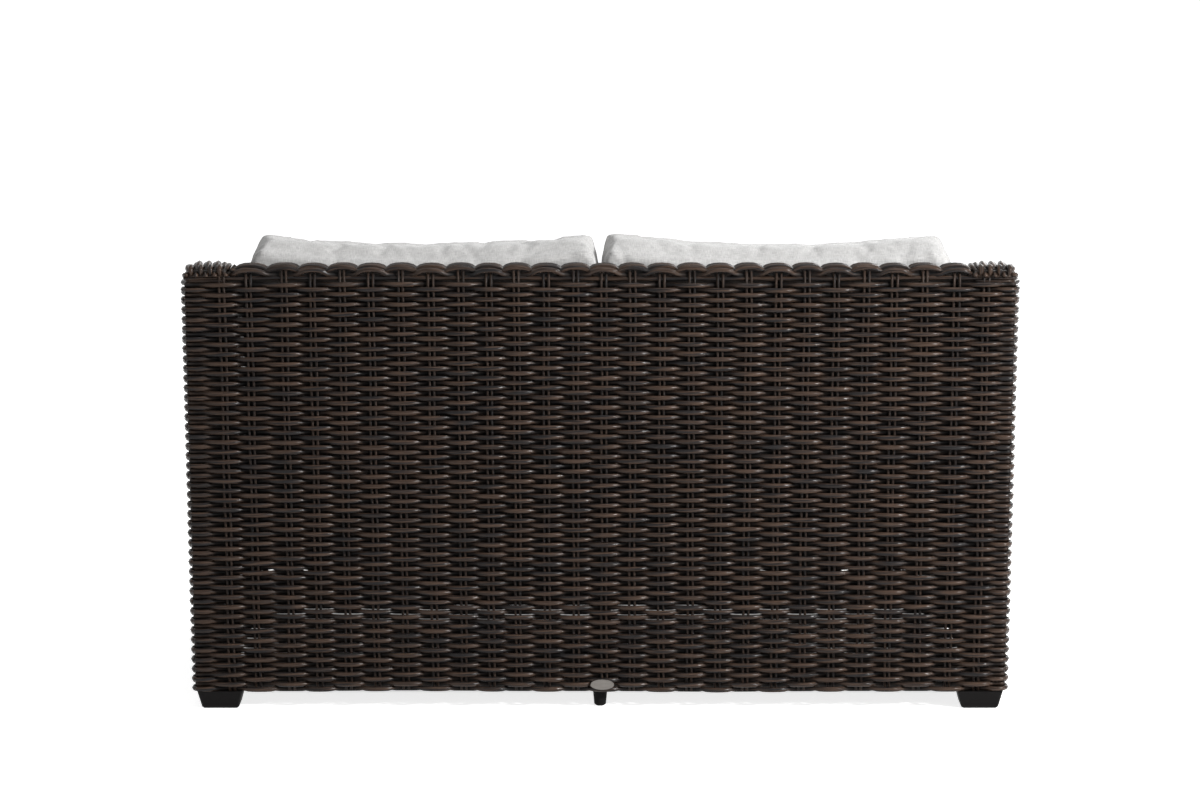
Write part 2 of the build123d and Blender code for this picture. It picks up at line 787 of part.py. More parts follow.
# A back cushion leans on the rim with its upper rear seam and stands on its lower rear one
lean = back_cushion_lean / degrees(1)
lean_up = Vector(0, sin(lean), cos(lean))
lean_out = Vector(0, -cos(lean), sin(lean))
back_cushion_width = inner_x - back_cushion_side_gap - cushion_middle_gap / 2
back_cushion_x = cushion_middle_gap / 2 + back_cushion_width / 2
back_cushion_height = (
    rim_height + back_cushion_rise - seat_cushion_top - back_cushion_thickness * sin(lean)
) / cos(lean)
seat_half_length = seat_cushion_length / 2
lean_length = back_cushion_height - back_cushion_top_draw
stand_y = inner_y - back_cushion_rim_gap - lean_length * sin(lean)
stand_share = (stand_y - seat_cushion_plane.origin.Y) / seat_half_length
stand_crown = seat_cushion_crown * (1 - stand_share**2)
stand_z = seat_cushion_top + stand_crown + cushion_rest_gap - back_cushion_bottom_draw
back_cushion_centre = (
    Vector(back_cushion_x, stand_y, stand_z)
    + lean_up * (back_cushion_height / 2)
    + lean_out * (back_cushion_thickness / 2)
)
back_cushion_plane = Plane(origin=back_cushion_centre, x_dir=(1, 0, 0), z_dir=lean_out)
back_sizes = (back_cushion_plane, back_cushion_width, back_cushion_height, back_cushion_thickness)
back_crowns = {"upper": back_cushion_crown, "lower": back_cushion_crown}
back_draws = {
    "side": cushion_side_draw,
    "near": back_cushion_bottom_draw,
    "far": back_cushion_top_draw,
}

with BuildPart() as back_cover:
    draw_cover(*back_sizes, back_crowns, back_draws, cushion_padding)
save_pair(back_cover, "back_cushion_cover")

with BuildPart() as back_core:
    draw_core(*back_sizes, back_draws, cushion_padding)
save_pair(back_core, "back_cushion_core")
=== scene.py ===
import math

import bmesh
import bpy
import numpy as np
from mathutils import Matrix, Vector, noise
from mathutils.bvhtree import BVHTree


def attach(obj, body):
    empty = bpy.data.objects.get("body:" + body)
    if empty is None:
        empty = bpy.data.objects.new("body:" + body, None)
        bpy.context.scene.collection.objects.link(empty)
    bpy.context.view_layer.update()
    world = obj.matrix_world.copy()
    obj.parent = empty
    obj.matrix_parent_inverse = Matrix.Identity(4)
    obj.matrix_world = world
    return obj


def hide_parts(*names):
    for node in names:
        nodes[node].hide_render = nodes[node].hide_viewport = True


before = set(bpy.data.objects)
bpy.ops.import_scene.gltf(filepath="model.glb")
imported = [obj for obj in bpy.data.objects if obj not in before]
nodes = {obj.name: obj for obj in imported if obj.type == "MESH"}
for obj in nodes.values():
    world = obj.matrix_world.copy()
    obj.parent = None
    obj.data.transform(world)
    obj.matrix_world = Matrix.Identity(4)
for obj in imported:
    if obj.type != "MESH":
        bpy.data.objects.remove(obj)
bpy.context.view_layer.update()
bpy.ops.object.select_all(action="DESELECT")
scene = bpy.context.scene
scene.view_settings.view_transform = "Standard"

# Studio: a pale seamless floor, a small strong key lamp on the sitter's right of the back,
# broad weaker lamps on the other side, above and in front, and white all round. The floor
# keeps the shadow, and the open floor round the seat is lifted to white for the camera.
floor_size = 120
floor_drop = 0.0005
bpy.ops.mesh.primitive_plane_add(size=floor_size, location=(0, 0, -floor_drop))
floor = bpy.context.object
floor.name = "studio_floor"
bpy.ops.object.transform_apply(location=True, rotation=True, scale=True)


def set_inputs(node, inputs):
    """Gives these inputs of a node their values."""
    for socket, value in inputs.items():
        node.inputs[socket].default_value = value


def start_material(name, inputs):
    """A new material, its node tree, and its shader with these values."""
    material = bpy.data.materials.new(name)
    material.use_nodes = True
    tree = material.node_tree
    shader = tree.nodes["Principled BSDF"]
    set_inputs(shader, inputs)
    return material, tree, shader


def add_node(tree, kind, inputs=None, **settings):
    """A new node with these settings, and with these values in its inputs."""
    node = tree.nodes.new(f"ShaderNode{kind}")
    for key, value in settings.items():
        setattr(node, key, value)
    set_inputs(node, inputs or {})
    return node


def wire(tree, *wires):
    """Each wire runs from one node's output to another node's input."""
    for start, output, end, entry in wires:
        tree.links.new(start.outputs[output], end.inputs[entry])


def see_background(tree):
    """A node that gives one for the rays that should see the plain white background."""
    path = add_node(tree, "LightPath")
    seen = add_node(tree, "Math", operation="MAXIMUM")
    clear = add_node(tree, "Math", operation="MAXIMUM")
    wire(
        tree,
        (path, "Is Camera Ray", seen, 0),
        (path, "Is Glossy Ray", seen, 1),
        (seen, 0, clear, 0),
        (path, "Is Transmission Ray", clear, 1),
    )
    return clear


# The lift leaves out the floor under the seat, which shows between the strands.
seat_middle = (0, 0.22, 0)
seat_edges = (("X", 0.67, 0.74), ("Y", 0.44, 0.52))
floor_lift = 0.8
floor_material, tree, shader = start_material(
    "studio_paper",
    {"Base Color": (0.82, 0.82, 0.82, 1), "Roughness": 0.9, "Specular IOR Level": 0.1},
)
place = add_node(tree, "TexCoord")
centred = add_node(tree, "VectorMath", {1: seat_middle})
mirrored = add_node(tree, "VectorMath", operation="ABSOLUTE")
axes = add_node(tree, "SeparateXYZ")
open_floor = add_node(tree, "Math", operation="MAXIMUM")
open_lift = add_node(tree, "Math", {1: floor_lift}, operation="MULTIPLY")
seen_lift = add_node(tree, "Math", operation="MULTIPLY")
lift = add_node(tree, "Emission")
both = add_node(tree, "AddShader")
wire(
    tree,
    (place, "Object", centred, 0),
    (centred, 0, mirrored, 0),
    (mirrored, 0, axes, 0),
    (open_floor, 0, open_lift, 0),
    (open_lift, 0, seen_lift, 0),
    (see_background(tree), 0, seen_lift, 1),
    (seen_lift, 0, lift, "Strength"),
    (shader, 0, both, 0),
    (lift, 0, both, 1),
    (both, 0, tree.nodes["Material Output"], "Surface"),
)
for entry, (axis, inner, outer) in enumerate(seat_edges):
    edge = add_node(
        tree, "MapRange", {"From Min": inner, "From Max": outer}, interpolation_type="SMOOTHSTEP"
    )
    wire(tree, (axes, axis, edge, "Value"), (edge, "Result", open_floor, entry))
floor.data.materials.append(floor_material)

# The air is dimmer for the light that it sheds than for the rays that see it.
air_light = 0.38
world = bpy.data.worlds.new("studio_air")
scene.world = world
world.use_nodes = True
tree = world.node_tree
air = tree.nodes["Background"]
set_inputs(air, {"Color": (1, 1, 1, 1)})
air_level = add_node(tree, "Mix", {"A": air_light, "B": 1}, data_type="FLOAT")
wire(tree, (see_background(tree), 0, air_level, "Factor"), (air_level, "Result", air, "Strength"))

# Each lamp's place and aim, its width in metres and its power in watts
for name, place, aim, width, power in (
    ("key_lamp", (-3.2, 2.7, 2.0), (0, 0.4, 0.5), 0.42, 268),
    ("side_lamp", (4.0, 4.5, 2.2), (0, 0.2, 0.5), 3.0, 20),
    ("top_lamp", (-0.6, 0.6, 4.2), (0, 0, 0.4), 2.4, 40),
    ("front_lamp", (-2.4, -4.5, 2.6), (0, 0, 0.5), 2.6, 90),
):
    lamp_data = bpy.data.lights.new(name, "AREA")
    lamp_data.shape = "DISK"
    lamp_data.size = width
    lamp_data.energy = power
    lamp = bpy.data.objects.new(name, lamp_data)
    lamp.location = place
    lamp.rotation_euler = (Vector(aim) - Vector(place)).to_track_quat("-Z", "Y").to_euler()
    scene.collection.objects.link(lamp)

# The camera stands straight behind the seat and looks down by a few degrees.
camera_dip = 8.206
camera_data = bpy.data.cameras.new("camera")
camera_data.sensor_width = 36
camera_data.lens = 119.2
camera = bpy.data.objects.new("camera", camera_data)
camera.location = (0.0002, 7.543, 1.595)
camera.rotation_euler = (math.radians(90 - camera_dip), 0, math.radians(180))
scene.collection.objects.link(camera)
scene.camera = camera

# Welded aluminium frame: square tubes in a dark brown powder coat, matt, with the fine
# orange-peel skin that baked powder has. The tubes come over from the model as they are.


def finish_nodes(names, material):
    """Pieces of the model keep their shapes and take this finish."""
    for name in names:
        piece = nodes[name]
        piece.data.materials.clear()
        piece.data.materials.append(material)


def build_skin_group():
    """Fine pebbled skin, as on baked powder and moulded plastic."""
    group = bpy.data.node_groups.new("fine_skin", "ShaderNodeTree")
    for name, way, kind in (
        ("Scale", "INPUT", "Float"),
        ("Light", "INPUT", "Color"),
        ("Dark", "INPUT", "Color"),
        ("Color", "OUTPUT", "Color"),
        ("Height", "OUTPUT", "Float"),
        ("Roughness", "OUTPUT", "Float"),
    ):
        group.interface.new_socket(name, in_out=way, socket_type=f"NodeSocket{kind}")
    ins = group.nodes.new("NodeGroupInput")
    outs = group.nodes.new("NodeGroupOutput")
    place = add_node(group, "TexCoord")
    pebble = add_node(group, "TexNoise", {"Detail": 2})
    patch = add_node(group, "TexNoise", {"Scale": 9, "Detail": 4})
    tint = add_node(group, "Mix", data_type="RGBA")
    rough = add_node(
        group, "MapRange", {"From Min": 0.3, "From Max": 0.7, "To Min": 0.46, "To Max": 0.62}
    )
    wire(
        group,
        (place, "Object", pebble, "Vector"),
        (place, "Object", patch, "Vector"),
        (ins, "Scale", pebble, "Scale"),
        (patch, "Fac", tint, "Factor"),
        (ins, "Light", tint, "A"),
        (ins, "Dark", tint, "B"),
        (patch, "Fac", rough, "Value"),
        (tint, "Result", outs, "Color"),
        (pebble, "Fac", outs, "Height"),
        (rough, "Result", outs, "Roughness"),
    )
    return group


fine_skin = build_skin_group()


def skin_material(name, light, dark, scale, depth, shine):
    """Pebbled skin in patches of two tones, its pebbles this many metres deep."""
    material, tree, shader = start_material(name, {"Specular IOR Level": shine})
    skin = add_node(
        tree, "Group", {"Scale": scale, "Light": light, "Dark": dark}, node_tree=fine_skin
    )
    bump = add_node(tree, "Bump", {"Strength": 0.5, "Distance": depth})
    wire(
        tree,
        (skin, "Color", shader, "Base Color"),
        (skin, "Roughness", shader, "Roughness"),
        (skin, "Height", bump, "Height"),
        (bump, "Normal", shader, "Normal"),
    )
    return material


tubes = ["back_top_rail", "seat_bearer"]
for tube in ("base_rail", "seat_rail", "rear_post", "front_post", "arm_rail", "back_upright"):
    tubes += [f"{tube}_left", f"{tube}_right"]
for tube in ("base_rail", "seat_rail", "seat_strut"):
    tubes += [f"{tube}_front", f"{tube}_rear"]
finish_nodes(
    tubes,
    skin_material(
        "brown_powder_coat", light=(0.035, 0.026, 0.021, 1), dark=(0.022, 0.017, 0.014, 1),
        scale=900, depth=0.0002, shine=0.3,
    ),
)

# Seat deck: rubber-cored straps in a black ribbed weave, laced over and under each other.
# Each strap end is held by a zinc-plated spring-steel clip hooked into a slotted rail.


def strap_material(name, along, across):
    """Ribs run along the strap, crossed by fine picks of yarn."""
    material, tree, shader = start_material(name, {"Roughness": 0.78})
    place = add_node(tree, "TexCoord")
    ribs = add_node(tree, "TexWave", {"Scale": 95, "Distortion": 0.4}, bands_direction=across)
    picks = add_node(tree, "TexWave", {"Scale": 260, "Distortion": 0.8}, bands_direction=along)
    height = add_node(tree, "Math", operation="ADD")
    tint = add_node(
        tree, "Mix", {"A": (0.012, 0.012, 0.013, 1), "B": (0.045, 0.044, 0.043, 1)},
        data_type="RGBA",
    )
    bump = add_node(tree, "Bump", {"Strength": 0.7, "Distance": 0.0005})
    wire(
        tree,
        (place, "Object", ribs, "Vector"),
        (place, "Object", picks, "Vector"),
        (ribs, "Fac", height, 0),
        (picks, "Fac", height, 1),
        (ribs, "Fac", tint, "Factor"),
        (tint, "Result", shader, "Base Color"),
        (height, 0, bump, "Height"),
        (bump, "Normal", shader, "Normal"),
    )
    return material


finish_nodes(["webbing_front_to_rear"], strap_material("strap_weave_lengthways", "Y", "X"))
finish_nodes(["webbing_side_to_side"], strap_material("strap_weave_crossways", "X", "Y"))


def metal_material(name, light, dark, scale, stretch, rough_low, rough_high):
    """Bare or plated metal: its surface marks follow the stretched pattern."""
    material, tree, shader = start_material(name, {"Metallic": 1})
    place = add_node(tree, "TexCoord")
    turn = add_node(tree, "Mapping", {"Scale": stretch})
    marks = add_node(tree, "TexNoise", {"Scale": scale, "Detail": 5})
    tint = add_node(tree, "Mix", {"A": light, "B": dark}, data_type="RGBA")
    rough = add_node(
        tree, "MapRange",
        {"From Min": 0.3, "From Max": 0.7, "To Min": rough_low, "To Max": rough_high},
    )
    bump = add_node(tree, "Bump", {"Strength": 0.3, "Distance": 0.0001})
    wire(
        tree,
        (place, "Object", turn, "Vector"),
        (turn, "Vector", marks, "Vector"),
        (marks, "Fac", tint, "Factor"),
        (marks, "Fac", rough, "Value"),
        (marks, "Fac", bump, "Height"),
        (tint, "Result", shader, "Base Color"),
        (rough, "Result", shader, "Roughness"),
        (bump, "Normal", shader, "Normal"),
    )
    return material


finish_nodes(
    ("webbing_clips", "foot_screws"),
    metal_material(
        "zinc_plate", light=(0.62, 0.63, 0.64, 1), dark=(0.42, 0.42, 0.41, 1), scale=160,
        stretch=(1, 1, 1), rough_low=0.28, rough_high=0.42,
    ),
)

# Woven resin of the outer sides and back: pairs of 5.4 mm stakes stand every 53 mm, and
# round weavers of about 9 mm pass in front of one pair and behind the next, row upon row,
# and round the corners. Each weaver is one extruded strand of brown and grey-black resin.
# The weave's lengths are in millimetres.
MM = 0.001
skin_half = 12.0
row_pitch = 8.95
back_rows = 85
stake_radius = 2.7
stake_spread = 4.4
stake_step = 24
least_points = 5
full_turn = 6.3
weaver_radius = 4.7
weaver_swing = 7.2
foot_height = 33.0
rim_height = 813.0
half_base = 751.0
side_lean = 11.0
front_y = -445.0
rear_y = 443.0
inner_x = 662.4
inner_y = 354.4
arm_fall = 0.21643
chance = np.random.default_rng(7)


def rounded_path(corners, radii):
    """A path through these corners, rounded to one radius or to one each: the lengths along
    it, its points, and the directions to its right."""
    corners = np.array(corners, float)
    radii = np.broadcast_to(radii, len(corners) - 2)
    heads = np.diff(corners, axis=0)
    heads /= np.linalg.norm(heads, axis=1)[:, None]
    right = np.stack([heads[:, 1], -heads[:, 0]], axis=1)
    points, sides = [corners[0]], [right[0]]
    arc_points = 9
    for corner, before, after, side, radius in zip(
        corners[1:-1], heads[:-1], heads[1:], right[:-1], radii
    ):
        turn = math.atan2(before[0] * after[1] - before[1] * after[0], before @ after)
        way = math.copysign(1, turn)
        start = corner - before * radius * math.tan(abs(turn) / 2)
        for step in np.linspace(0, turn, arc_points):
            c, s = math.cos(step), math.sin(step)
            facing = np.array([c * side[0] - s * side[1], s * side[0] + c * side[1]])
            points.append(start + way * radius * (facing - side))
            sides.append(facing)
    points.append(corners[-1])
    sides.append(right[-1])
    points, sides = np.array(points), np.array(sides)
    lengths = np.concatenate([[0], np.cumsum(np.linalg.norm(np.diff(points, axis=0), axis=1))])
    return lengths, points, sides


def on_path(path, lengths):
    """Points and outward directions at these lengths along a path."""
    known, points, sides = path
    place = np.stack([np.interp(lengths, known, points[:, i]) for i in (0, 1)], axis=1)
    facing = np.stack([np.interp(lengths, known, sides[:, i]) for i in (0, 1)], axis=1)
    return place, facing / np.linalg.norm(facing, axis=1)[:, None]


def swing_out(centre, outward, out):
    """Points at this place, moved outward, and the directions outward."""
    centre, outward = np.stack(centre, axis=1), np.stack(outward, axis=1)
    return centre + outward * np.asarray(out)[:, None], outward


def waver(lengths, levels, pace):
    """How far the rows wander up or down, which changes along and across a sheet."""
    return 0.9 * np.sin(lengths / pace + levels / 120)


def lean_at(height):
    """How far a side leans out at a height."""
    return side_lean * (height - foot_height) / (rim_height - foot_height)


class Basketwork:
    """Gathers the strands of one woven piece and makes its mesh. Each point of it knows its place
    in the strand's grain, the strand's tone, and how openly it lies, its crown, which sets how dark
    its painted shade is."""

    strand_sides = 6
    grain_twist = 0.012
    # Stakes lie half deep, so they take a middling painted shade.
    stake_crown = 0.6

    def __init__(self):
        self.points, self.faces, self.count = [], [], 0
        self.grain, self.tone, self.crown = [], [], []

    def add_strand(self, centre, outward, radii, along, crown=None, tall=None):
        """A strand through these points, but for the first and last, which steer its ends."""
        sides = self.strand_sides
        tangent = np.gradient(centre, axis=0)
        tangent /= np.linalg.norm(tangent, axis=1)[:, None]
        centre, tangent = centre[1:-1], tangent[1:-1]
        tall = (radii if tall is None else tall)[1:-1]
        outward, radii, along = outward[1:-1], radii[1:-1], along[1:-1]
        outward = outward - tangent * np.sum(outward * tangent, axis=1)[:, None]
        outward /= np.linalg.norm(outward, axis=1)[:, None]
        across = np.cross(tangent, outward)
        angle = np.arange(sides) * 2 * math.pi / sides
        c, s = np.cos(angle)[None, :, None], np.sin(angle)[None, :, None]
        ring = centre[:, None] + radii[:, None, None] * c * outward[:, None]
        ring += tall[:, None, None] * s * across[:, None]
        n = len(centre)
        twist = self.grain_twist * along[:, None] + angle[None, :]
        grain = [np.repeat(along[:, None], sides, 1) * MM, np.cos(twist), np.sin(twist)]
        crown = np.full(n, self.stake_crown) if crown is None else crown[1:-1]
        i, k = np.meshgrid(np.arange(n - 1), np.arange(sides), indexing="ij")
        j = (k + 1) % sides
        walls = np.stack(
            [i * sides + k, i * sides + j, (i + 1) * sides + j, (i + 1) * sides + k], axis=2
        ).reshape(-1, 4)
        cap = np.array([[0, 1, 2, 3], [0, 3, 4, 5]])
        faces = np.concatenate([walls, cap[:, ::-1], cap + (n - 1) * sides])
        self.points.append(ring.reshape(-1, 3))
        self.grain.append(np.stack(grain, axis=2).reshape(-1, 3))
        self.tone.append(np.full(n * sides, chance.random()))
        self.crown.append(np.repeat(crown, sides))
        self.faces.append(faces + self.count)
        self.count += n * sides

    def make_piece(self, name):
        """The gathered strands as one object."""
        points = np.concatenate(self.points) * MM
        faces = np.concatenate(self.faces).astype(np.int32)
        mesh = bpy.data.meshes.new(name)
        mesh.vertices.add(len(points))
        mesh.vertices.foreach_set("co", points.astype(np.float32).ravel())
        mesh.loops.add(faces.size)
        mesh.loops.foreach_set("vertex_index", faces.ravel())
        mesh.polygons.add(len(faces))
        mesh.polygons.foreach_set("loop_start", np.arange(0, faces.size, 4, dtype=np.int32))
        mesh.polygons.foreach_set("use_smooth", np.ones(len(faces), bool))
        mesh.update(calc_edges=True)
        mesh.validate()
        grain = mesh.attributes.new("grain", "FLOAT_VECTOR", "POINT")
        grain.data.foreach_set("vector", np.concatenate(self.grain).astype(np.float32).ravel())
        for label, values in (("tone", self.tone), ("crown", self.crown)):
            mark = mesh.attributes.new(label, "FLOAT", "POINT")
            mark.data.foreach_set("value", np.concatenate(values).astype(np.float32))
        piece = bpy.data.objects.new(name, mesh)
        scene.collection.objects.link(piece)
        return piece


# A weaver's points between two stake pairs, and its shape by how far it swings out: how thick and
# how tall it is, and how openly it lies, its crown, which sets its painted shade. The straight row
# lies a little way in, with only a light painted shade.
step_shares = np.array([0, 0.2, 0.37, 0.5, 0.63, 0.8])
bend_offsets = np.array([-5, -2.5, 2.5, 5])
least_step = 1.2
swing_firmness = 1.5
straight_swing = -0.55
straight_crown = 0.75
calm_reach = 15
thick_shape = ([-1, -0.5, -0.15, 0.15, 0.5, 1], [0.95, 0.92, 0.84, 0.86, 0.98, 1])
tall_shape = ([-1, -0.4, 0, 1], [1.38, 1.25, 1.0, 1.02])
crown_shape = ([-1, -0.7, -0.3, 0, 0.3], [0, 0.1, 0.55, 0.88, 1])
end_share = 0.04
weaver_sag = 0.5
weaver_spread = 0.03


def weave_row(
    basket, place, stakes, first, row, level, start=None, end=None, scale=1.0, bends=(),
    calm=0.0, straight=False,
):
    """One weaver past all the stake pairs, numbered from the first, or between two lengths.
    It gets closer points at its bends, and swings less at corners by the calm share."""
    last = len(stakes) - 1
    numbers = np.arange(-1, last + 2)
    known = np.concatenate([[2 * stakes[0] - stakes[1]], stakes, [2 * stakes[-1] - stakes[-2]]])
    count = (np.arange(last)[:, None] + step_shares).ravel()
    shares = np.concatenate([[-end_share], count, [last, last + end_share]])
    lengths = np.interp(shares, numbers, known)
    low, high = lengths[0], lengths[-1]
    if start is not None:
        low = max(low, start)
    if end is not None:
        high = min(high, end)
    for bend in bends:
        lengths = np.concatenate([lengths, bend + bend_offsets])
    lengths = np.unique(lengths[(lengths >= low) & (lengths <= high)])
    lengths = lengths[np.concatenate([[True], np.diff(lengths) > least_step])]
    if len(lengths) < least_points:
        return
    swing = np.cos(math.pi * (np.interp(lengths, known, numbers) + first + row))
    swing = np.tanh(swing_firmness * swing) / math.tanh(swing_firmness)
    if straight:
        swing = np.full(len(lengths), straight_swing)
    for corner in (stakes[0], stakes[-1]):
        swing = swing * (1 - calm * np.exp(-(((lengths - corner) / calm_reach) ** 2)))
    thick = np.interp(swing, *thick_shape)
    radii = scale * weaver_radius * thick * (1 + weaver_spread * chance.standard_normal())
    tall = radii * np.interp(swing, *tall_shape)
    crown = np.interp(swing, *crown_shape)
    if straight:
        tall = radii
        crown = np.maximum(crown, straight_crown)
    wave = 0.35 * np.sin(lengths / 61 + chance.random() * full_turn)
    sag = weaver_sag * np.maximum(-swing, 0)
    centre, outward = place(lengths, level + wave - sag, swing * weaver_swing)
    basket.add_strand(centre, outward, radii, lengths + 1000 * chance.random(), crown, tall)


def stand_stakes(basket, place, stakes, low, high):
    """A pair of stakes at each place along the sheet, from the low level to the high one,
    which is one for all or one for each pair."""
    for stake, top in zip(stakes, np.broadcast_to(high, len(stakes))):
        if top - low < stake_step / 2:
            continue
        levels = np.linspace(low, top, max(least_points, int((top - low) / stake_step)))
        levels = np.concatenate([[low - 1], levels, [top + 1]])
        for side in (-stake_spread, stake_spread):
            sway = side + 0.8 * np.sin(levels / 47 + chance.random() * full_turn)
            centre, outward = place(stake + sway, levels, np.zeros(len(levels)))
            basket.add_strand(
                centre, outward, np.full(len(levels), stake_radius), levels + 999 * chance.random()
            )


wrap_x = half_base - skin_half
wrap_front = front_y + skin_half
wrap_rear = rear_y - skin_half
wrap_radius = 8.0
wrap_return = 40
wrap_path = rounded_path(
    [
        (wrap_x - wrap_return, wrap_front),
        (wrap_x, wrap_front),
        (wrap_x, wrap_rear),
        (-wrap_x, wrap_rear),
        (-wrap_x, wrap_front),
        (-wrap_x + wrap_return, wrap_front),
    ],
    wrap_radius,
)
# How much shorter a rounded right-angled corner is than a sharp one
corner_loss = 2 * wrap_radius - math.pi * wrap_radius / 2
left_front = wrap_return - corner_loss / 2
left_rear = left_front + (wrap_rear - wrap_front) - corner_loss
right_rear = left_rear + 2 * wrap_x - corner_loss
right_front = right_rear + (wrap_rear - wrap_front) - corner_loss

# Places of the stake pairs across the back, left of the middle being positive, at the
# height where the back is this much wider than at its foot
stakes_widening = 1.007
back_stakes_x = np.array(
    [677, 629, 566, 515, 462, 410, 357, 303, 250, 199, 150, 97, 44, -7, -58, -111, -164, -215,
     -266, -319, -370, -423, -476, -527, -581, -638, -691]
) / stakes_widening
back_middle = (left_rear + right_rear) / 2
back_stakes = np.concatenate([[left_rear], back_middle - back_stakes_x, [right_rear]])
side_pairs = 17


def on_wrap(lengths, levels, out):
    """A place on the outer sides and back."""
    lengths, levels = np.broadcast_arrays(lengths, levels)
    place, facing = on_path(wrap_path, lengths)
    levels = levels + waver(lengths, levels, 173)
    grow = 1 + lean_at(levels) / half_base
    return swing_out((place[:, 0] * grow, place[:, 1], levels), (*facing.T, 0 * lengths), out)


last_rise = 2.5


def row_level(row):
    """Height of a row; the last one is a straight strand close under the rim."""
    return foot_height + (row + 0.5) * row_pitch + last_rise * (row == back_rows - 1)


def arm_top_at(y):
    """Height of an arm's top at a place along it."""
    return rim_height - arm_fall * np.maximum(inner_y - np.asarray(y, float), 0)


def resin_material():
    """Extruded strands: brown and grey-black streaks drawn out along each one, satin. Where they
    pass behind the stakes they are rougher, and painted shade darkens them nearly to black."""
    material, tree, shader = start_material("woven_resin", {"Specular IOR Level": 0.13})
    grain = add_node(tree, "Attribute", attribute_name="grain")
    tone = add_node(tree, "Attribute", attribute_name="tone")
    crown = add_node(tree, "Attribute", attribute_name="crown")
    spread = add_node(tree, "Math", {1: 97}, operation="MULTIPLY")
    own = add_node(tree, "CombineXYZ")
    wire(tree, (tone, "Fac", spread, 0), (spread, 0, own, 0))
    streaked = add_node(tree, "Mix", {"Factor": 1}, data_type="RGBA", blend_type="MULTIPLY")
    wide_stops = ((0.40, (0.0118, 0.0107, 0.0110, 1)), (0.56, (0.045, 0.0286, 0.0204, 1)))
    fine_stops = ((0.34, (0.38, 0.37, 0.37, 1)), (0.62, (1.25, 1.22, 1.2, 1)))
    for entry, stretch, stops in (
        ("A", (11, 0.9, 0.9), wide_stops),
        ("B", (26, 4.2, 4.2), fine_stops),
    ):
        drawn = add_node(tree, "Mapping", {"Scale": stretch})
        moved = add_node(tree, "VectorMath", operation="ADD")
        streaks = add_node(tree, "TexNoise", {"Scale": 1, "Detail": 3})
        ramp = add_node(tree, "ValToRGB")
        for element, (position, color) in zip(ramp.color_ramp.elements, stops):
            element.position = position
            element.color = color
        wire(
            tree,
            (grain, "Vector", drawn, "Vector"),
            (drawn, "Vector", moved, 0),
            (own, "Vector", moved, 1),
            (moved, "Vector", streaks, "Vector"),
            (streaks, "Fac", ramp, "Fac"),
            (ramp, "Color", streaked, entry),
        )
    # Painted shade: where the crown is low, deep behind the stakes, the base colour is multiplied
    # down to near black.
    painted_recess_shade = add_node(tree, "Mix", {"A": (0.08, 0.07, 0.07, 1), "B": (1, 1, 1, 1)}, data_type="RGBA")
    crowned = add_node(tree, "Mix", {"Factor": 1}, data_type="RGBA", blend_type="MULTIPLY")
    polish = add_node(tree, "MapRange", {"To Min": 0.8, "To Max": 0.34})
    rough = add_node(tree, "Math", {1: -0.22}, operation="MULTIPLY_ADD")
    bump = add_node(tree, "Bump", {"Strength": 0.8, "Distance": 0.0006})
    # The fine streaks, which the loop makes last, roughen and emboss the strand, too.
    wire(
        tree,
        (crown, "Fac", painted_recess_shade, "Factor"),
        (streaked, "Result", crowned, "A"),
        (painted_recess_shade, "Result", crowned, "B"),
        (crowned, "Result", shader, "Base Color"),
        (crown, "Fac", polish, "Value"),
        (streaks, "Fac", rough, 0),
        (polish, "Result", rough, 2),
        (rough, 0, shader, "Roughness"),
        (streaks, "Fac", bump, "Height"),
        (bump, "Normal", shader, "Normal"),
    )
    return material


woven_resin = resin_material()


def finish_weave(basket, name, replaced):
    """Makes the piece, which stands for one woven skin of the model."""
    piece = basket.make_piece(name)
    piece.data.materials.append(woven_resin)
    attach(piece, "frame")
    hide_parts(replaced)


# Each sheet numbers its stake pairs from its own first one, so that the weavers go on over
# and under in step round the corners.
corner_calm = 0.7
stake_foot = foot_height + 1
back_stake_top = rim_height - 8
all_rows = range(back_rows)
arm_top_depth = 16


def weave_face(place, stakes, first, rows, foot, tops, calm, front=None):
    """One face of the back or of an arm, between its corner stakes. Where an arm slopes down
    to the front, the rows that would stick out of its top stop short at that end."""
    basket = Basketwork()
    for row in rows:
        level = row_level(row)
        short = inner_y - (rim_height - (level + arm_top_depth)) / arm_fall - wrap_front
        start = stakes[0] + short if front == "start" and short > 0 else None
        end = stakes[-1] - short if front == "end" and short > 0 else None
        weave_row(
            basket, place, stakes, first, row, level, start, end,
            bends=(stakes[0], stakes[-1]), calm=calm, straight=row == back_rows - 1,
        )
    stand_stakes(basket, place, stakes[1:-1], foot, tops)
    return basket


basket = weave_face(on_wrap, back_stakes, 16, all_rows, stake_foot, back_stake_top, corner_calm)
finish_weave(basket, "woven_back", "back_weave_outer")

for side, ends, first, front in (
    ("left", (left_front, left_rear), 0, "start"),
    ("right", (right_rear, right_front), 44, "end"),
):
    stakes = np.linspace(*ends, side_pairs)
    tops = arm_top_at(on_path(wrap_path, stakes[1:-1])[0][:, 1]) - arm_top_depth
    basket = weave_face(on_wrap, stakes, first, all_rows, stake_foot, tops, corner_calm, front)
    finish_weave(basket, f"woven_side_{side}", f"arm_weave_outer_{side}")

# Rim of the back: the weavers go on over the top rail in ten more rows. The first of them
# rises where it bends over a stake pair, which gives the top line its scallops.
rim_crest = rim_height - skin_half + 4
rim_path = rounded_path(
    [
        (rear_y - skin_half, rim_crest - 8),
        (rear_y - skin_half, rim_crest),
        (inner_y + skin_half, rim_crest - 2),
        (inner_y + skin_half, rim_crest - 15),
    ],
    7.5,
)
rim_length = rim_path[0][-1]
rim_levels = np.concatenate([[2.5, 9.0], np.linspace(17.6, rim_length - 3.0, 8)])
scallop_rise = 6
scallop_fade = (3.5, 7)


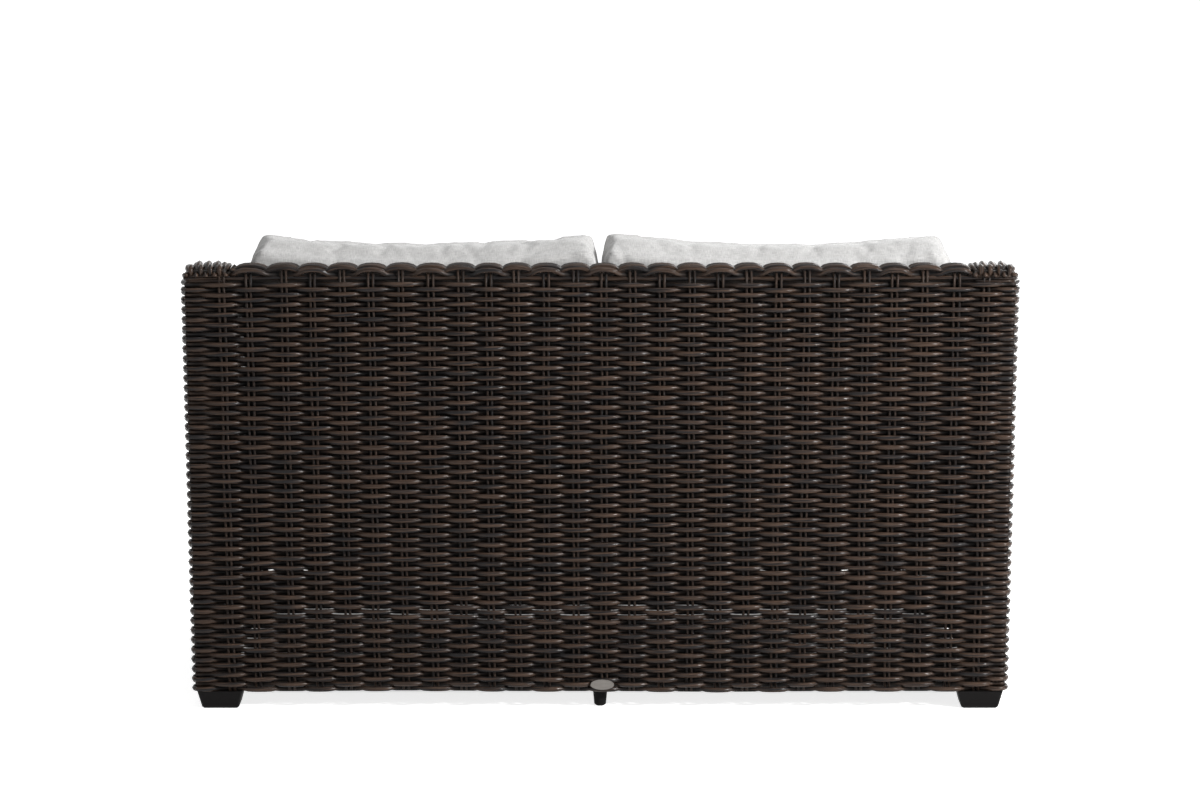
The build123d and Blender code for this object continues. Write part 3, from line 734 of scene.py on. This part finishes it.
def on_rim(lengths, levels, out):
    """A place on the rim: lengths run from left to right, levels over the top to the front."""
    lengths, levels = np.broadcast_arrays(lengths, levels)
    place, facing = on_path(rim_path, levels)
    rise = np.interp(levels, scallop_fade, [scallop_rise, 0])
    lift = np.maximum(np.asarray(out) / weaver_swing, 0) * rise
    return swing_out((-lengths, place[:, 0], place[:, 1] + lift), (0 * lengths, *facing.T), out)


rim_stakes = -back_stakes_x * (1 + lean_at(rim_height) / half_base)
rim_reach = inner_x + 14
rim_thickness = 0.98
basket = Basketwork()
reach_stakes = np.concatenate([[-684.0], rim_stakes[1:-1], [692.0]])
for row, level in enumerate(rim_levels):
    weave_row(
        basket, on_rim, reach_stakes, 16, back_rows + row, level, -rim_reach, rim_reach,
        scale=rim_thickness,
    )
stand_stakes(basket, on_rim, rim_stakes[1:-1], 1, rim_length)
finish_weave(basket, "woven_rim", "back_rim_weave")

# Inside of the back and arms, above the seat deck: the same weave, facing the sitter. The
# weavers of the arms' fronts turn the corner and run back along the arms.
inner_corner_x = inner_x + skin_half
inside_path = rounded_path(
    [
        (-wrap_x, wrap_front + wrap_return),
        (-wrap_x, wrap_front),
        (-inner_corner_x, wrap_front),
        (-inner_corner_x, inner_y + skin_half),
        (inner_corner_x, inner_y + skin_half),
        (inner_corner_x, wrap_front),
        (wrap_x, wrap_front),
        (wrap_x, wrap_front + wrap_return),
    ],
    wrap_radius,
)
front_run = wrap_x - inner_corner_x
arm_run = inner_y + skin_half - wrap_front
inside_right_outer = wrap_return - corner_loss / 2
inside_right_inner = inside_right_outer + front_run - corner_loss
inside_right_rear = inside_right_inner + arm_run - corner_loss
inside_left_rear = inside_right_rear + 2 * inner_corner_x - corner_loss
inside_left_inner = inside_left_rear + arm_run - corner_loss
inside_left_outer = inside_left_inner + front_run - corner_loss


def on_inside(lengths, levels, out):
    """A place on the arms' fronts and the inner faces of the arms and back."""
    lengths, levels = np.broadcast_arrays(lengths, levels)
    place, facing = on_path(inside_path, lengths)
    levels = levels + waver(lengths, levels, 181)
    share = np.clip((np.abs(place[:, 0]) - inner_corner_x) / (wrap_x - inner_corner_x), 0, 1.05)
    lean = np.sign(place[:, 0]) * lean_at(levels) * share
    return swing_out((place[:, 0] + lean, place[:, 1], levels), (*facing.T, 0 * lengths), out)


first_inside_row = 31
inside_rows = range(first_inside_row, back_rows)
inside_foot = 303
inside_top = rim_height - 18
inside_calm = 0.5
inside_middle = (inside_right_rear + inside_left_rear) / 2
inside_back_stakes = np.concatenate(
    [[inside_right_rear], inside_middle + back_stakes_x[1:-1][::-1], [inside_left_rear]]
)
basket = weave_face(
    on_inside, inside_back_stakes, 16, inside_rows, inside_foot, inside_top, inside_calm
)
finish_weave(basket, "woven_back_inside", "back_weave_inner")

for side, ends, first, front in (
    ("left", (inside_left_rear, inside_left_inner), 42, "end"),
    ("right", (inside_right_inner, inside_right_rear), 2, "start"),
):
    stakes = np.linspace(*ends, side_pairs)
    tops = arm_top_at(on_path(inside_path, stakes[1:-1])[0][:, 1]) - arm_top_depth
    basket = weave_face(
        on_inside, stakes, first, inside_rows, inside_foot, tops, inside_calm, front
    )
    finish_weave(basket, f"woven_arm_inside_{side}", f"arm_weave_inner_{side}")

# Apron: the weave under the seat runs between the arms and turns in over the seat rail. Its
# strands are a little thicker, as they close its shorter rows.
apron_top = 302.0
apron_turn_in = 16
apron_calm = 230
apron_pairs = 27
low_scale = 1.06
apron_path = rounded_path(
    [
        (front_y + skin_half, foot_height),
        (front_y + skin_half, apron_top - skin_half),
        (front_y + skin_half + apron_turn_in, apron_top - skin_half),
    ],
    5.0,
)


def on_apron(lengths, levels, out):
    """A place on the apron: lengths run from right to left, levels up and over the edge."""
    lengths, levels = np.broadcast_arrays(lengths, levels)
    levels = levels + waver(lengths, levels, 181) * (levels < apron_calm)
    place, facing = on_path(apron_path, levels)
    return swing_out((lengths, *place.T), (0 * lengths, *-facing.T), out)


apron_stakes = np.linspace(-inner_corner_x, inner_corner_x, apron_pairs)
apron_length = apron_path[0][-1]
basket = Basketwork()
for row in range(int(apron_length / row_pitch)):
    weave_row(
        basket, on_apron, apron_stakes, 62, row, (row + 0.5) * row_pitch, -inner_x, inner_x,
        scale=low_scale,
    )
stand_stakes(basket, on_apron, apron_stakes[1:-1], 1, apron_length)
finish_weave(basket, "woven_apron", "front_apron_weave")

# Arm fronts: the same weave round one stake pair, from the floor side of the base up to
# the arms' tops. It meets the arms' other faces at its corners.
front_calm = 0.6
arm_front_rows = int((arm_top_at(wrap_front) - 2 * skin_half - foot_height) / row_pitch)
for side, ends, first in (
    ("left", (inside_left_inner, inside_left_outer), 58),
    ("right", (inside_right_outer, inside_right_inner), 60),
):
    basket = weave_face(
        on_inside, np.linspace(*ends, 3), first, range(arm_front_rows), stake_foot,
        arm_top_at(wrap_front) - arm_top_depth, front_calm,
    )
    finish_weave(basket, f"woven_arm_front_{side}", f"arm_weave_front_{side}")

# Arm tops: here the weavers run from front to rear, over the arm rail, and turn down at
# both ends, where they tuck in behind the top row.
arm_tops_z = rim_height - skin_half + 4
arm_tuck = 24
arm_pairs = 17
arm_width = 75.6
arm_top_rows = 11
arm_stake_points = 22
arm_front_z = arm_top_at(front_y + skin_half)
arm_along = rounded_path(
    [
        (front_y + skin_half, arm_front_z - 26),
        (front_y + skin_half, arm_front_z - skin_half),
        (inner_y, arm_tops_z),
        (rear_y - skin_half, arm_tops_z),
        (rear_y - skin_half, arm_tops_z - 20),
    ],
    6.0,
)
arm_length = arm_along[0][-1]
between = np.linspace(22.0, arm_length - 23.0, arm_pairs)
arm_stakes = np.concatenate([[-10.0], between, [arm_length - 6]])
arm_across = rounded_path([(0, -14), (0, 0), (73.5, 0), (73.5, -16)], (9.0, 16.0))
across_length = arm_across[0][-1]


def on_arm_top(sign):
    """Places on one arm top: lengths run from the front to the rear, levels from the inner
    edge out. The top gets wider as the side leans out."""

    def place_on(lengths, levels, out):
        lengths, levels = np.broadcast_arrays(lengths, levels)
        spot, facing = on_path(arm_along, lengths)
        facing = -facing
        width = half_base + lean_at(spot[:, 1]) - skin_half - inner_corner_x
        x, x_facing = on_path(arm_across, levels)
        x_facing = -x_facing
        out = np.asarray(out)
        stretch = 1 + (width - arm_width) / arm_width
        side = inner_corner_x + x[:, 0] * stretch + x_facing[:, 0] * out
        drop = x[:, 1] + x_facing[:, 1] * out
        centre = np.stack(
            [sign * side, spot[:, 0] + facing[:, 0] * drop, spot[:, 1] + facing[:, 1] * drop],
            axis=1,
        )
        outward = np.stack(
            [sign * x_facing[:, 0], facing[:, 0] * x_facing[:, 1], facing[:, 1] * x_facing[:, 1]],
            axis=1,
        )
        return centre, outward

    return place_on


for side, sign in (("left", 1), ("right", -1)):
    place = on_arm_top(sign)
    basket = Basketwork()
    for row in range(arm_top_rows):
        level = (row + 0.5) * across_length / arm_top_rows
        short = arm_tuck if row in (0, arm_top_rows - 1) else 0
        weave_row(
            basket, place, arm_stakes, 1, row, level, short, arm_length - short,
            scale=low_scale, bends=(15, arm_length - 15),
        )
    for stake in arm_stakes[1:]:
        for spread in (-stake_spread, stake_spread):
            levels = np.linspace(3, across_length - 3, arm_stake_points)
            centre, outward = place(
                np.full(arm_stake_points, stake + spread), levels, np.zeros(arm_stake_points)
            )
            basket.add_strand(centre, outward, np.full(arm_stake_points, stake_radius), levels)
    finish_weave(basket, f"woven_arm_top_{side}", f"arm_weave_top_{side}")

# Feet: tapered blocks of black moulded plastic under the corners, each held by a screw, and
# two slim legs under the middle, whose studs go up through the base rails.
finish_nodes(
    (
        "foot_front_left", "foot_front_right", "foot_rear_left", "foot_rear_right",
        "centre_foot_front", "centre_foot_rear",
    ),
    skin_material(
        "moulded_black", light=(0.0075, 0.0068, 0.0068, 1), dark=(0.005, 0.0046, 0.0046, 1),
        scale=1400, depth=0.00012, shine=0.05,
    ),
)

# Oval tag: a bare stamped plate of grey metal, brushed along its length. A rivet through
# the weave holds each of its ends.
finish_nodes(
    ("oval_tag", "tag_rivets"),
    metal_material(
        "brushed_plate", light=(0.18, 0.168, 0.156, 1), dark=(0.12, 0.111, 0.102, 1), scale=900,
        stretch=(0.06, 1, 1), rough_low=0.32, rough_high=0.5,
    ),
)

# Cushions: foam in boxed covers of light grey heathered linen, with plain seams. They lie
# loose, the seat cushions on the deck and the back cushions on those, leaning on the rim.
# Each cover is the model's solid, drawn in, swollen as cloth, seamed and creased.
weld_distance = 0.00002
cover_shrink = 0.0025
cover_voxel = 0.009
cover_pressure = 4
cover_stretch = 0.015
most_swell = 0.024
settle_frames = 20
hold_share = 1.15
hold_reach = 0.04
corner_radius = 0.028
tuck_reach = 0.075
tuck_curve = 1.6
seam_depth = 0.0032
seam_width = 0.0045
welt_height = 0.0014
welt_place = 0.009
welt_width = 0.006
pucker_height = 0.0009
pucker_reach = 0.03
pucker_pace = 62
sag_height = 0.0032
sag_pace = 6.5
crease_pace = 13
crease_depth = 0.0035
crease_reach = 0.06
crease_start = 0.78
crease_span = 0.22
panel_shift = 3.7


def cloth_material():
    """Heathered linen: slubs of lighter and darker yarn along and across the cloth."""
    material, tree, shader = start_material(
        "cushion_linen", {"Roughness": 0.88, "Sheen Weight": 0.25, "Sheen Roughness": 0.5}
    )
    place = add_node(tree, "UVMap", uv_map="cloth")
    cross = add_node(tree, "Math", operation="ADD")
    tint = add_node(tree, "MapRange", {"From Min": 0.75, "From Max": 1.25})
    ramp = add_node(tree, "ValToRGB")
    ramp.color_ramp.elements[0].color = (0.262, 0.258, 0.255, 1)
    ramp.color_ramp.elements[1].color = (0.505, 0.50, 0.491, 1)
    bump = add_node(tree, "Bump", {"Strength": 0.6, "Distance": 0.0008})
    for entry, stretch in enumerate(((1, 14, 1), (14, 1, 1))):
        turn = add_node(tree, "Mapping", {"Scale": stretch})
        slub = add_node(tree, "TexNoise", {"Scale": 60, "Detail": 4, "Roughness": 0.65})
        wire(
            tree,
            (place, "UV", turn, "Vector"),
            (turn, "Vector", slub, "Vector"),
            (slub, "Fac", cross, entry),
        )
    wire(
        tree,
        (cross, 0, tint, "Value"),
        (tint, "Result", ramp, "Fac"),
        (ramp, "Color", shader, "Base Color"),
        (cross, 0, bump, "Height"),
        (bump, "Normal", shader, "Normal"),
    )
    return material


cushion_linen = cloth_material()


def shell_of(source, name):
    """The outside of a cushion's solid, merged and drawn in a little."""
    mesh = bmesh.new()
    mesh.from_mesh(nodes[source].data)
    bmesh.ops.remove_doubles(mesh, verts=mesh.verts, dist=weld_distance)
    seen, parts = set(), []
    for vertex in mesh.verts:
        if vertex in seen:
            continue
        stack, part = [vertex], []
        seen.add(vertex)
        while stack:
            here = stack.pop()
            part.append(here)
            for edge in here.link_edges:
                other = edge.other_vert(here)
                if other not in seen:
                    seen.add(other)
                    stack.append(other)
        parts.append(part)
    parts.sort(key=lambda part: max(v.co.x for v in part) - min(v.co.x for v in part))
    for part in parts[:-1]:
        bmesh.ops.delete(mesh, geom=part, context="VERTS")
    for vertex in mesh.verts:
        vertex.co -= vertex.normal * cover_shrink
    data = bpy.data.meshes.new(name)
    mesh.to_mesh(data)
    mesh.free()
    piece = bpy.data.objects.new(name, data)
    scene.collection.objects.link(piece)
    return piece


def use_modifier(piece, kind, **settings):
    """Adds a modifier with these settings and applies it."""
    modifier = piece.modifiers.new(kind.title(), kind)
    for key, value in settings.items():
        setattr(modifier, key, value)
    bpy.ops.object.select_all(action="DESELECT")
    bpy.context.view_layer.objects.active = piece
    piece.select_set(True)
    bpy.ops.object.modifier_apply(modifier=modifier.name)
    piece.select_set(False)


def read_values(items, label, size=1, kind=np.float32):
    """One value of each of a mesh's items, or a row of them."""
    values = np.empty(len(items) * size, kind)
    items.foreach_get(label, values)
    return values if size == 1 else values.reshape(-1, size)


def mesh_points(piece):
    """The places of a piece's points, one row each."""
    return read_values(piece.data.vertices, "co", 3).astype(float)


def set_points(piece, points):
    """Moves a piece's points to these places."""
    piece.data.vertices.foreach_set("co", points.astype(np.float32).ravel())
    piece.data.update()


def fill_cover(piece, apart):
    """The cover swells as filling presses it out, held back along its seams."""
    before = mesh_points(piece)
    seams = piece.vertex_groups.new(name="seams")
    hold = np.clip(hold_share - apart / hold_reach, 0, 1)
    for index in np.nonzero(hold > 0)[0]:
        seams.add([int(index)], float(hold[index]), "REPLACE")
    filling = piece.modifiers.new("Filling", "CLOTH")
    filling.settings.use_pressure = True
    filling.settings.uniform_pressure_force = cover_pressure
    filling.settings.effector_weights.gravity = 0
    filling.settings.vertex_group_mass = "seams"
    filling.settings.shrink_min = -cover_stretch
    for step in range(1, settle_frames + 1):
        scene.frame_set(step)
    shape = piece.evaluated_get(bpy.context.evaluated_depsgraph_get())
    moved = read_values(shape.data.vertices, "co", 3) - before
    swell = np.linalg.norm(moved, axis=1)
    moved *= np.minimum(1, most_swell / np.maximum(swell, 1e-9))[:, None]
    piece.modifiers.remove(filling)
    scene.frame_set(1)
    set_points(piece, before + moved)


def wander(points, scale, shift):
    """Smooth noise at each point, between -1 and 1."""
    step = Vector((shift, 1.7 * shift, -shift))
    return np.array([noise.noise(Vector(point) * scale + step) for point in points])


def seam_distance(local, width, length, half, draws):
    """Distance from the nearer of the two seams that join a cushion's panels to its boxing."""
    x, y, z = local.T
    side, near, far = draws
    reach_x = width / 2 - side * (1 - (2 * y / length) ** 2)
    reach_y = length / 2 - np.where(y > 0, far, near) * (1 - (2 * x / width) ** 2)
    qx, qy = np.abs(x) - reach_x + corner_radius, np.abs(y) - reach_y + corner_radius
    outside = np.hypot(np.maximum(qx, 0), np.maximum(qy, 0)) + np.minimum(np.maximum(qx, qy), 0)
    inward = np.maximum(corner_radius - outside, 0)
    below = np.maximum(half - np.abs(z), 0)
    return np.hypot(inward, below)


def cloth_uv(piece, middle, turn):
    """Cloth coordinates in metres, each panel laid flat from its own side."""
    data = piece.data
    uv = data.uv_layers.new(name="cloth")
    normals = read_values(data.polygons, "normal", 3) @ turn.T
    totals = read_values(data.polygons, "loop_total", kind=np.int32)
    facing = np.repeat(np.abs(normals).argmax(1), totals)
    corners = read_values(data.loops, "vertex_index", kind=np.int32)
    local = ((mesh_points(piece) - middle) @ turn.T)[corners]
    flat = np.where(
        (facing == 0)[:, None],
        local[:, [1, 2]],
        np.where((facing == 1)[:, None], local[:, [0, 2]], local[:, [0, 1]]),
    )
    uv.data.foreach_set("uv", (flat + facing[:, None] * panel_shift).astype(np.float32).ravel())


def solid_tree(name):
    """The surface of a solid of the model, to measure from."""
    mesh = bmesh.new()
    mesh.from_mesh(nodes[name].data)
    tree = BVHTree.FromBMesh(mesh)
    mesh.free()
    return tree


def hold_in(points, tree, turn, free):
    """Points too far outside a surface come back to it, by how free that side is."""
    held = points.copy()
    for i, point in enumerate(points):
        spot, normal, _, _ = tree.find_nearest(Vector(point))
        facing = turn @ np.array(normal)
        proud = float(facing**2 @ np.where(facing > 0, free[1], free[0]))
        if (Vector(point) - spot).dot(normal) > proud:
            held[i] = spot + normal * proud
    return held


def surface_push(local, apart, seed):
    """How far each point stands out: seams pull in between welts, puckers run up to them,
    the filling sags and swells, and creases cut in near the edges."""
    near = np.exp(-apart / pucker_reach)
    push = -seam_depth * np.exp(-((apart / seam_width) ** 2))
    push += welt_height * np.exp(-(((apart - welt_place) / welt_width) ** 2))
    push += pucker_height * near * wander(local * np.array([1, 1, 0.35]), pucker_pace, seed)
    push += sag_height * wander(local, sag_pace, seed + 3)
    crease = 1 - np.abs(wander(local * np.array([1, 1, 0.6]), crease_pace, seed + 7))
    cut = crease_depth * np.exp(-apart / crease_reach)
    push -= cut * np.clip(crease - crease_start, 0, 1) / crease_span
    return push


def make_cushion(name, source, middle, turn, size, draws, free, tuck, seed):
    """One boxed cushion on the model's solid, its middle, turn and size (width, length and
    half height) given for the left one. Its outline is drawn in, its upper corners are
    tucked in, and each side may stand out as far as it's free."""
    width, length, half = size
    sign = -1 if source.endswith("right") else 1
    middle = np.array([sign * middle[0], middle[1], middle[2]])
    free = np.array(free)
    if sign < 0:
        free[:, 0] = free[::-1, 0]
    piece = shell_of(source, name)
    use_modifier(piece, "REMESH", mode="VOXEL", voxel_size=cover_voxel)
    rest = (mesh_points(piece) - middle) @ turn.T
    apart = seam_distance(rest, width, length, half, draws)
    upper = np.clip((rest[:, 1] - length / 2 + tuck_reach) / tuck_reach, 0, 1) ** tuck_curve
    rest[:, 0] *= 1 - upper * np.where(sign * rest[:, 0] > 0, tuck[1], tuck[0]) / (width / 2)
    set_points(piece, rest @ turn + middle)
    mark = piece.data.attributes.new("seam", "FLOAT", "POINT")
    mark.data.foreach_set("value", apart.astype(np.float32))
    fill_cover(piece, apart)
    use_modifier(piece, "SUBSURF", levels=1, render_levels=1)
    points = mesh_points(piece)
    apart = read_values(piece.data.attributes["seam"].data, "value")
    push = surface_push((points - middle) @ turn.T, apart, seed)
    points = points + read_values(piece.data.vertices, "normal", 3) * push[:, None]
    set_points(piece, hold_in(points, solid_tree(source), turn, free))
    for polygon in piece.data.polygons:
        polygon.use_smooth = True
    cloth_uv(piece, middle, turn)
    piece.data.materials.append(cushion_linen)
    return piece


def finish_cushion(piece, kind, side):
    """The cushion rides on its own body, and stands for the model's cover and core."""
    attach(piece, f"{kind}_cushion_{side}")
    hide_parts(f"{kind}_cushion_cover_{side}", f"{kind}_cushion_core_{side}")


back_lean = math.radians(10)
c, s = math.cos(back_lean), math.sin(back_lean)
lean_turn = np.array([[1, 0, 0], [0, s, c], [0, -c, s]])
contact_height = 0.475
contact_gap = 0.0006
ray_height = 0.6
for side, seed in (("left", 2.0), ("right", 31.0)):
    seat = make_cushion(
        f"seat_cushion_{side}", f"seat_cushion_cover_{side}", middle=(0.3296, -0.0433, 0.3733),
        turn=np.eye(3), size=(0.6576, 0.7834, 0.071), draws=(0.006, 0.006, 0.006),
        free=((0.0005, 0.003, 0.0002), (0.002, 0.0005, 0.009)), tuck=(0.002, 0.002), seed=seed,
    )
    finish_cushion(seat, "seat", side)
    back = make_cushion(
        f"back_cushion_{side}", f"back_cushion_cover_{side}", middle=(0.3243, 0.2524, 0.6510),
        turn=lean_turn, size=(0.6470, 0.3927, 0.069), draws=(0.006, 0.003, 0.021),
        free=((0.0005, 0.0005, 0.0005), (0.004, 0.006, 0.010)), tuck=(0.008, 0.019),
        seed=seed + 11,
    )
    # The foot of the back cushion comes to rest just above the seat cushion.
    seat_surface = BVHTree.FromObject(seat, bpy.context.evaluated_depsgraph_get())
    points = mesh_points(back)
    for i in np.nonzero(points[:, 2] < contact_height)[0]:
        above = Vector((points[i, 0], points[i, 1], ray_height))
        spot = seat_surface.ray_cast(above, Vector((0, 0, -1)))[0]
        if spot is not None:
            points[i, 2] = max(points[i, 2], spot.z + contact_gap)
    set_points(back, points)
    finish_cushion(back, "back", side)
